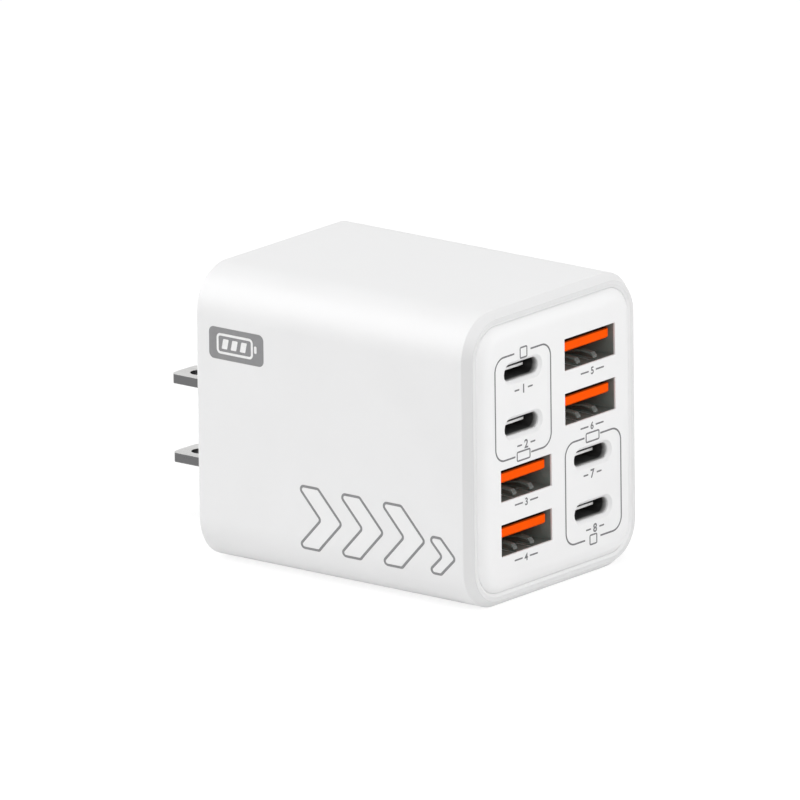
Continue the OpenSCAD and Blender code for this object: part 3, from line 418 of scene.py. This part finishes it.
metals = {
    # The blade's upright sides are far darker, which is painted shade
    "blade_metal": {
        "dark": (0.55, 0.548, 0.54), "light": (0.63, 0.628, 0.62), "worn": (0.74, 0.735, 0.73), "cut": (0.15, 0.15, 0.152),
        "rough": 0.3, "stretch": (1, 0.04, 1), "lines": 2500, "edge": 0.00015},
    "spring_brass": {
        "dark": (0.55, 0.4, 0.2), "light": (0.72, 0.55, 0.3), "worn": (0.85, 0.7, 0.45),
        "rough": 0.3, "stretch": (0.05, 1, 1), "lines": 2500, "edge": 0.0001},
    "shell_steel": {
        "dark": (0.22, 0.265, 0.247), "light": (0.27, 0.32, 0.3), "worn": (0.28, 0.31, 0.3),
        "front": (0.1, 0.11, 0.105), "top": (0.13, 0.15, 0.14),  # painted shade on the springs and floor, which lie in the shade
        "rough": 0.5, "metallic": 0.35, "stretch": (1, 0.06, 1), "lines": 3000, "edge": 0.00008},
    # The narrow outlets' very dark shell and contact finishes are painted shade
    "narrow_steel_shaded": {
        "dark": (0.035, 0.035, 0.035), "light": (0.06, 0.06, 0.06), "worn": (0.12, 0.12, 0.12),
        "mouth": {"start": 0.0262, "blur": 0.0008, "colour": (0.8, 0.8, 0.8)},
        "rough": 0.45, "metallic": 0.5, "stretch": (1, 0.06, 1), "lines": 3000, "edge": 0.00008},
    "narrow_gold_shaded": {
        "dark": (0.09, 0.07, 0.04), "light": (0.13, 0.1, 0.06), "worn": (0.2, 0.16, 0.1),
        "rough": 0.35, "stretch": (1, 0.1, 1), "lines": 4000, "edge": 0.00005},
    "contact_gold": {
        "dark": (0.7, 0.5, 0.2), "light": (0.85, 0.65, 0.32), "worn": (0.95, 0.8, 0.5),
        "rough": 0.2, "stretch": (1, 0.1, 1), "lines": 4000, "edge": 0.00005},
    "copper_wire": {
        "dark": (0.5, 0.2, 0.08), "light": (0.7, 0.32, 0.14), "worn": (0.8, 0.45, 0.25),
        "rough": 0.3, "stretch": (1, 1, 0.2), "lines": 2500, "edge": 0.0001},
    "capacitor_can": {
        "dark": (0.66, 0.66, 0.68), "light": (0.8, 0.8, 0.82), "worn": (0.9, 0.9, 0.9),
        "rough": 0.28, "stretch": (1, 1, 1), "lines": 1500, "edge": 0.0001},
    "spreader_aluminium": {
        "dark": (0.68, 0.69, 0.7), "light": (0.82, 0.83, 0.84), "worn": (0.92, 0.92, 0.93),
        "rough": 0.35, "stretch": (1, 0.05, 1), "lines": 2000, "edge": 0.0002},
}
finishes = {name: mouldedPlastic(name, look) for name, look in plastics.items()}
finishes.update({name: sheetMetal(name, look) for name, look in metals.items()})
# The narrow outlets' shells and contacts get very dark finishes, painted shade for their dark slots; their names end in
# a stroke and a number
ownFinish = {"usb_c_shell": "narrow_steel_shaded", "usb_c_contacts": "narrow_gold_shaded"}
for name, piece in nodesByName.items():
    finish = ownFinish.get(name[:-2], slotOf[name])
    for slot in piece.material_slots:
        slot.material = finishes[finish]
print("finishes set:", len(finishes))

panelFace = -27.8  # mm, the flat of the panel
sideFace = -21.0  # mm, the flat of the left side
cornerRadius = 7.1  # mm, of the sleeve's long corners
sleeveMiddle = 23.5  # mm, height of the middle of the sleeve
inkLift = 0.012  # mm, thickness of the ink
smallRows = 9  # rows of points in a small filled shape


# Path through corners with each one rounded: an arc that touches both legs, centre on the halving line of the angle
def roundPath(corners, radius, closed=True, steps=9):
    corner = np.asarray(corners, float)
    before, after = np.roll(corner, 1, axis=0), np.roll(corner, -1, axis=0)
    toBefore = (before - corner) / np.linalg.norm(before - corner, axis=1, keepdims=True)
    toAfter = (after - corner) / np.linalg.norm(after - corner, axis=1, keepdims=True)
    half = np.arccos(np.clip((toBefore * toAfter).sum(1), -1, 1)) / 2
    halving = toBefore + toAfter
    halving /= np.linalg.norm(halving, axis=1, keepdims=True)
    centre = corner + halving * (radius / np.sin(half))[:, None]
    start = corner + toBefore * (radius / np.tan(half))[:, None] - centre
    end = corner + toAfter * (radius / np.tan(half))[:, None] - centre
    first = np.arctan2(start[:, 1], start[:, 0])
    sweep = (np.arctan2(end[:, 1], end[:, 0]) - first + np.pi) % (2 * np.pi) - np.pi
    angle = first[:, None] + sweep[:, None] * np.linspace(0, 1, steps)[None, :]
    arcs = centre[:, None, :] + radius * np.stack([np.cos(angle), np.sin(angle)], axis=-1)
    if closed:
        return arcs.reshape(-1, 2)
    return np.concatenate([corner[:1], arcs[1:-1].reshape(-1, 2), corner[-1:]])


# The same path with points at even distances, read off its length
def evenPath(path, spacing, closed=True):
    full = np.concatenate([path, path[:1]]) if closed else path
    length = np.concatenate([[0], np.cumsum(np.linalg.norm(np.diff(full, axis=0), axis=1))])
    count = max(int(length[-1] / spacing), 4)
    at = np.linspace(0, length[-1], count + 1)
    if closed:
        at = at[:-1]
    return np.stack([np.interp(at, length, full[:, 0]), np.interp(at, length, full[:, 1])], axis=1)


# A band of one width along a path: the path moved half the width to each side along its normal
def strokeBand(path, width, closed=True, spacing=0.12):
    line = evenPath(path, spacing, closed)
    along = np.roll(line, -1, axis=0) - np.roll(line, 1, axis=0) if closed else np.gradient(line, axis=0)
    along /= np.linalg.norm(along, axis=1, keepdims=True)
    normal = np.stack([-along[:, 1], along[:, 0]], axis=1)
    aside = np.array([-0.5, 0.0, 0.5]) * width
    return line[None, :, :] + normal[None, :, :] * aside[:, None, None], closed


# A filled rectangle with round corners: at each height the half width is shortened by the corner's arc
def roundPlate(low, high, radius, lean=0.0, rows=33, columns=7):
    low, high = np.array(low, float), np.array(high, float)
    middle, half = (low + high) / 2, (high - low) / 2
    height = -half[1] * np.cos(np.linspace(0, np.pi, rows))
    into = np.clip(np.abs(height) - (half[1] - radius), 0, radius)
    reach = half[0] - radius + np.sqrt(np.maximum(radius ** 2 - into ** 2, 0))
    across = reach[:, None] * np.linspace(-1, 1, columns)[None, :] + lean * height[:, None]
    return np.stack([middle[0] + across, middle[1] + np.repeat(height[:, None], columns, 1)], axis=-1), False


# A filled arrowhead band: a strip of one width, both edges of which run out to a tip at half its height
def chevronFill(start, width, tip, low, high, rows=41, columns=7):
    height = np.linspace(low, high, rows)
    push = tip * (1 - np.abs(2 * (height - low) / (high - low) - 1))
    across = start + push[:, None] + width * np.linspace(0, 1, columns)[None, :]
    return np.stack([across, np.repeat(height[:, None], columns, 1)], axis=-1), False


def boxCorners(left, right, low, high):
    return [(left, low), (right, low), (right, high), (left, high)]


def chevronCorners(start, width, tip, low, high):
    middle, far = (low + high) / 2, start + width
    return [(start, low), (far, low), (far + tip, middle), (far, high), (start, high), (start + tip, middle)]


# From a picture of the panel to its face: x to the right, height above the middle of the sleeve
def onPanel(points, lift):
    return np.stack([points[..., 0], np.full(points.shape[:-1], panelFace - lift), points[..., 1] + sleeveMiddle], axis=-1)


# From a picture of the left side to its face: distance towards the outlets, height; below the flat it follows the round edge
def onSide(points, lift):
    height = points[..., 1] + sleeveMiddle
    below = np.clip(cornerRadius - height, 0, cornerRadius)
    radius = cornerRadius + lift
    bulge = radius - np.sqrt(radius ** 2 - (below * radius / cornerRadius) ** 2)
    return np.stack([sideFace - lift + bulge, -points[..., 0], height], axis=-1)


# What each printed face does with its pictures, which way it looks, and the slot of what it is printed on
printFaces = {
    "panel": (onPanel, (0, -1, 0), "panel_plastic"),
    "side": (onSide, (-1, 0, 0), "sleeve_plastic"),
}


# Faces of a grid of rows by columns, its last column joined to the first if it is closed
def gridFaces(rows, columns, closed, offset):
    row, column = np.meshgrid(np.arange(rows - 1), np.arange(columns if closed else columns - 1), indexing="ij")
    after = (column + 1) % columns
    corners = [row * columns + column, row * columns + after, (row + 1) * columns + after, (row + 1) * columns + column]
    return np.stack([c.ravel() for c in corners], axis=1) + offset


def addPiece(name, points, faces, material):
    mesh = bpy.data.meshes.new(name)
    mesh.from_pydata(np.concatenate(points).tolist(), [], faces)
    mesh.validate()
    mesh.materials.append(material)
    piece = bpy.data.objects.new(name, mesh)
    scene.collection.objects.link(piece)
    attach(piece, "root")


# One mesh from several grids, turned so that its faces look outwards
def makePrint(name, face, grids, lift, material):
    placed, outward, slot = printFaces[face]
    points, faces, offset = [], [], 0
    for grid, closed in grids:
        spot = placed(grid, lift) * mm
        rows, columns = spot.shape[:2]
        quads = gridFaces(rows, columns, closed, offset)
        flat = spot.reshape(-1, 3)
        a, b, c = (flat[quads[:, k] - offset] for k in (0, 1, 2))
        if np.cross(b - a, c - a).sum(0) @ np.array(outward) < 0:
            quads = quads[:, ::-1]
        points.append(flat)
        faces.append(quads)
        offset += len(flat)
    addPiece(name, points, np.concatenate(faces).tolist(), material)


# Plain numbers: each is made a mesh, centred on its own box, and then laid on the panel
def makeNumbers(name, labels, bold, lift, material):
    points, faces, offset = [], [], 0
    for text, middle, size, rule in labels:
        curve = bpy.data.curves.new(name + text, "FONT")
        curve.body = text
        curve.size = size
        curve.offset = bold * size
        helper = bpy.data.objects.new(name + text, curve)
        scene.collection.objects.link(helper)
        flat = bpy.data.meshes.new_from_object(helper.evaluated_get(bpy.context.evaluated_depsgraph_get()))
        spot = np.zeros(len(flat.vertices) * 3)
        flat.vertices.foreach_get("co", spot)
        spot = spot.reshape(-1, 3)[:, :2]
        spot += np.array(middle) - (spot.min(0) + spot.max(0)) / 2
        placed = onPanel(spot, lift) * mm
        for polygon in flat.polygons:
            corners = list(polygon.vertices)
            a, b, c = (placed[corners[k]] for k in (0, 1, 2))
            faces.append([k + offset for k in (corners[::-1] if np.cross(b - a, c - a)[1] > 0 else corners)])
        points.append(placed)
        offset += len(placed)
        bpy.data.objects.remove(helper)
        bpy.data.curves.remove(curve)
        bpy.data.meshes.remove(flat)
    addPiece(name, points, faces, material)


# Screen ink: one tone that thins out a little here and there
def inkFinish(name, colour):
    return mouldedPlastic(name, {"colour": colour, "rough": 0.5, "grain": 9000, "mottle": 900, "shade": 0.05, "bump": 0.1})


panelPrint = {
    "line": 0.28,
    "frameRadius": 2.15,
    "frameSteps": 15,
    # left, right, low, high of each frame, then the gaps at the top and at the foot
    "frames": [
        (-15.44, -1.74, -0.09, 16.31, (-10.64, -6.64), (-10.64, -6.74)),
        (1.66, 15.41, -17.24, -0.89, (6.46, 10.36), (6.36, 10.16)),
    ],
    # left, right, low, high of the small plain outlines that stand in those gaps
    "outlines": [
        (-9.19, -7.54, 15.31, 16.96),
        (-10.19, -7.04, -0.89, 0.51),
        (6.86, 10.06, -1.69, -0.29),
        (7.56, 9.26, -18.19, -16.69),
    ],
    "outlineCorner": 0.2,
    "outlineShare": 0.9,  # of the frames' line
    # number, middle, height of the type, length of the rules beside it
    "labels": [
        ("1", (-8.44, 10.4), 1.9, 1.2),
        ("2", (-7.94, 1.5), 1.9, 1.2),
        ("3", (-8.04, -7.7), 1.6, 2.0),
        ("4", (-8.24, -16.5), 1.6, 2.0),
        ("5", (8.56, 9.5), 1.6, 2.0),
        ("6", (8.36, 0.75), 1.6, 2.0),
        ("7", (8.36, -6.9), 1.9, 1.2),
        ("8", (8.86, -15.7), 1.9, 1.2),
    ],
    "bold": 0.03,  # how much wider each stroke of a number is drawn, as a share of its height
    "ruleStart": 0.55,  # from the middle of a number, as a share of its height
    "ruleHalf": 0.13,  # half the thickness of a rule
    "ruleCorner": 0.1,
    "ink": (0.16, 0.16, 0.165),
}


def printPanel():
    ink = inkFinish("panelInk", panelPrint["ink"])
    line = panelPrint["line"]
    grids = []
    for left, right, low, high, top, foot in panelPrint["frames"]:
        for side, near, far in ((right, top[1], foot[1]), (left, top[0], foot[0])):
            corners = [(near, high), (side, high), (side, low), (far, low)]
            path = roundPath(corners, panelPrint["frameRadius"], closed=False, steps=panelPrint["frameSteps"])
            grids.append(strokeBand(path, line, closed=False))
    makePrint("panelFrames", "panel", grids, inkLift, ink)
    paths = [roundPath(boxCorners(*box), panelPrint["outlineCorner"]) for box in panelPrint["outlines"]]
    grids = [strokeBand(path, line * panelPrint["outlineShare"]) for path in paths]
    makePrint("panelOutlines", "panel", grids, inkLift, ink)
    grids = []
    half = panelPrint["ruleHalf"]
    for text, (x, z), size, rule in panelPrint["labels"]:
        for side in (-1, 1):
            middle = x + side * (panelPrint["ruleStart"] * size + rule / 2)
            low, high = (middle - rule / 2, z - half), (middle + rule / 2, z + half)
            grids.append(roundPlate(low, high, panelPrint["ruleCorner"], rows=smallRows))
    makePrint("panelRules", "panel", grids, inkLift, ink)
    makeNumbers("panelNumbers", panelPrint["labels"], panelPrint["bold"], inkLift, ink)


sidePrint = {
    "line": 0.42,
    "corner": 0.55,
    # distance towards the outlets, width of the strip, length of the tip, low and high, from the middle of the sleeve
    "chevrons": [
        (-7.0, 4.1, 4.6, -17.8, -7.9),
        (1.2, 4.1, 4.6, -17.8, -7.9),
        (9.4, 4.1, 4.6, -17.8, -7.9),
        (18.6, 2.6, 2.9, -17.6, -11.8),
    ],
    "badge": ((-24.16, 9.76), (-13.36, 14.86), 0.95),  # two opposite corners and the radius
    "ink": (0.24, 0.24, 0.245),
    "fill": {"colour": (0.84, 0.84, 0.842), "rough": 0.42, "grain": 5200, "mottle": 90, "shade": 0.008, "bump": 0.2},
    "fillLift": 0.5,  # of the ink's thickness
    "badgeInk": (0.25, 0.25, 0.255),
    "markInk": (0.84, 0.84, 0.84),
    "markLift": 1.5,  # of the ink's thickness
}
# A plain cell with three bars, from the middle of the badge
cellPrint = {
    "case": (-3.7, 3.1, -1.45, 1.45),
    "caseCorner": 0.55,
    "caseLine": 0.4,
    "cap": (3.55, 4.05, -0.6, 0.6),
    "capCorner": 0.2,
    "bar": (-2.75, -1.65, -0.8, 0.8),
    "bars": 3,
    "barPitch": 1.8,
    "barCorner": 0.12,
    "barLean": 0.22,
}


# A box moved to a middle and on by a step, as its low and its high corner
def movedBox(box, s, z, step=0.0):
    left, right, low, high = box
    return (s + left + step, z + low), (s + right + step, z + high)


def drawCell(s, z):
    (left, low), (right, high) = movedBox(cellPrint["case"], s, z)
    case = roundPath(boxCorners(left, right, low, high), cellPrint["caseCorner"])
    cell = [strokeBand(case, cellPrint["caseLine"])]
    cell.append(roundPlate(*movedBox(cellPrint["cap"], s, z), cellPrint["capCorner"], rows=smallRows))
    for k in range(cellPrint["bars"]):
        low, high = movedBox(cellPrint["bar"], s, z, k * cellPrint["barPitch"])
        cell.append(roundPlate(low, high, cellPrint["barCorner"], lean=cellPrint["barLean"], rows=smallRows))
    return cell


def printSide():
    chevrons = sidePrint["chevrons"]
    ink = inkFinish("sideInk", sidePrint["ink"])
    fill = mouldedPlastic("sideFillInk", sidePrint["fill"])
    makePrint("sideMarkFill", "side", [chevronFill(*c) for c in chevrons], inkLift * sidePrint["fillLift"], fill)
    grids = [strokeBand(roundPath(chevronCorners(*c), sidePrint["corner"]), sidePrint["line"]) for c in chevrons]
    makePrint("sideMark", "side", grids, inkLift, ink)
    low, high, radius = sidePrint["badge"]
    makePrint("sideBadge", "side", [roundPlate(low, high, radius)], inkLift, inkFinish("badgeInk", sidePrint["badgeInk"]))
    cell = drawCell((low[0] + high[0]) / 2, (low[1] + high[1]) / 2)
    markInk = inkFinish("badgeMarkInk", sidePrint["markInk"])
    makePrint("sideBadgeMark", "side", cell, inkLift * sidePrint["markLift"], markInk)


printPanel()
printSide()
print("printing done")

studio = {
    "ambient": 0.2,  # what the white room adds from all sides
    "floorHalf": 2.5,
    "floorLow": 0.00002,  # how far the floor lies under the foot
    "floorTone": 0.92,
    "floorSeen": 0.25,  # how much of its own shading the camera sees on the floor
    "floorLift": 0.83,  # what the camera sees on top, so that the floor reads white
    "lampAway": 0.8,
    "lampSize": 0.5,
    # turn from the outlets towards the right side and rise of each soft lamp, in degrees, and its power
    "lamps": {
        "leftRearLow": (-150, 10, 2.5),
        "leftRearHigh": (-150, 35, 2.2),
        "rightFrontLow": (30, 10, 2.5),
        "leftFrontHigh": (-30, 35, 2.28),
        "overhead": (0, 88, 2.15),
    },
}
white = (1, 1, 1, 1)


# 1 for a ray from the camera, a mirror or a glass, 0 for light that spreads
def sightRay(tree):
    path = addNode(tree, "LightPath")
    total = path.outputs["Is Camera Ray"]
    for label in ("Is Glossy Ray", "Is Transmission Ray"):
        most = addNode(tree, "Math", operation="MAXIMUM")
        tree.links.new(total, most.inputs[0])
        tree.links.new(path.outputs[label], most.inputs[1])
        total = most.outputs[0]
    return total


# The first shader where a factor is 0 and the second where it is 1
def mixShaders(tree, factor, first, second):
    mix = addNode(tree, "MixShader")
    tree.links.new(factor, mix.inputs[0])
    tree.links.new(first.outputs[0], mix.inputs[1])
    tree.links.new(second.outputs[0], mix.inputs[2])
    return mix


def makeRoom():
    world = bpy.data.worlds.new("whiteRoom")
    scene.world = world
    world.use_nodes = True
    tree = world.node_tree
    tree.nodes.clear()
    light = setSockets(addNode(tree, "Background"), {"Color": white, "Strength": studio["ambient"]})
    seen = setSockets(addNode(tree, "Background"), {"Color": white, "Strength": 1.0})
    out = addNode(tree, "OutputWorld")
    tree.links.new(mixShaders(tree, sightRay(tree), light, seen).outputs[0], out.inputs["Surface"])


# A flat floor whose underside lets the view through
def makeFloor():
    marks = np.linspace(-studio["floorHalf"], studio["floorHalf"], 3)
    across, along = np.meshgrid(marks, marks)
    points = np.stack([across.ravel(), along.ravel(), np.full(across.size, -studio["floorLow"])], axis=1)
    mesh = bpy.data.meshes.new("floor")
    mesh.from_pydata(points.tolist(), [], gridFaces(*across.shape, False, 0).tolist())
    floor = bpy.data.objects.new("floor", mesh)
    scene.collection.objects.link(floor)
    material, tree = newMaterial("floorPaper")
    seen = sightRay(tree)
    paper = addNode(tree, "BsdfDiffuse")
    tone = blendColours(tree, seen, (studio["floorTone"],) * 3, (studio["floorSeen"],) * 3)
    lift = setSockets(addNode(tree, "Emission"), {"Color": white})
    both = addNode(tree, "AddShader")
    clear = addNode(tree, "BsdfTransparent")
    sides = addNode(tree, "NewGeometry")
    out = addNode(tree, "OutputMaterial")
    tree.links.new(tone, paper.inputs["Color"])
    tree.links.new(timesFactor(tree, seen, studio["floorLift"]), lift.inputs["Strength"])
    tree.links.new(paper.outputs[0], both.inputs[0])
    tree.links.new(lift.outputs[0], both.inputs[1])
    surface = mixShaders(tree, sides.outputs["Backfacing"], both, clear)
    tree.links.new(surface.outputs[0], out.inputs["Surface"])
    mesh.materials.append(material)


# A square soft lamp that looks at the middle of the sleeve
def makeLamp(name, turn, rise, power):
    lamp = bpy.data.lights.new(name, "AREA")
    lamp.shape = "SQUARE"
    lamp.size = studio["lampSize"]
    lamp.energy = power
    lampObject = bpy.data.objects.new(name, lamp)
    right, up, back = cameraAxes(math.radians(turn), math.radians(rise), 0)
    place = Vector(view["middle"]) + back * studio["lampAway"]
    lampObject.matrix_world = Matrix.Translation(place) @ (-back).to_track_quat("-Z", "Y").to_matrix().to_4x4()
    scene.collection.objects.link(lampObject)


makeRoom()
makeFloor()
for lampName, lampLook in studio["lamps"].items():
    makeLamp(lampName, *lampLook)
print("room, floor and lamps set")
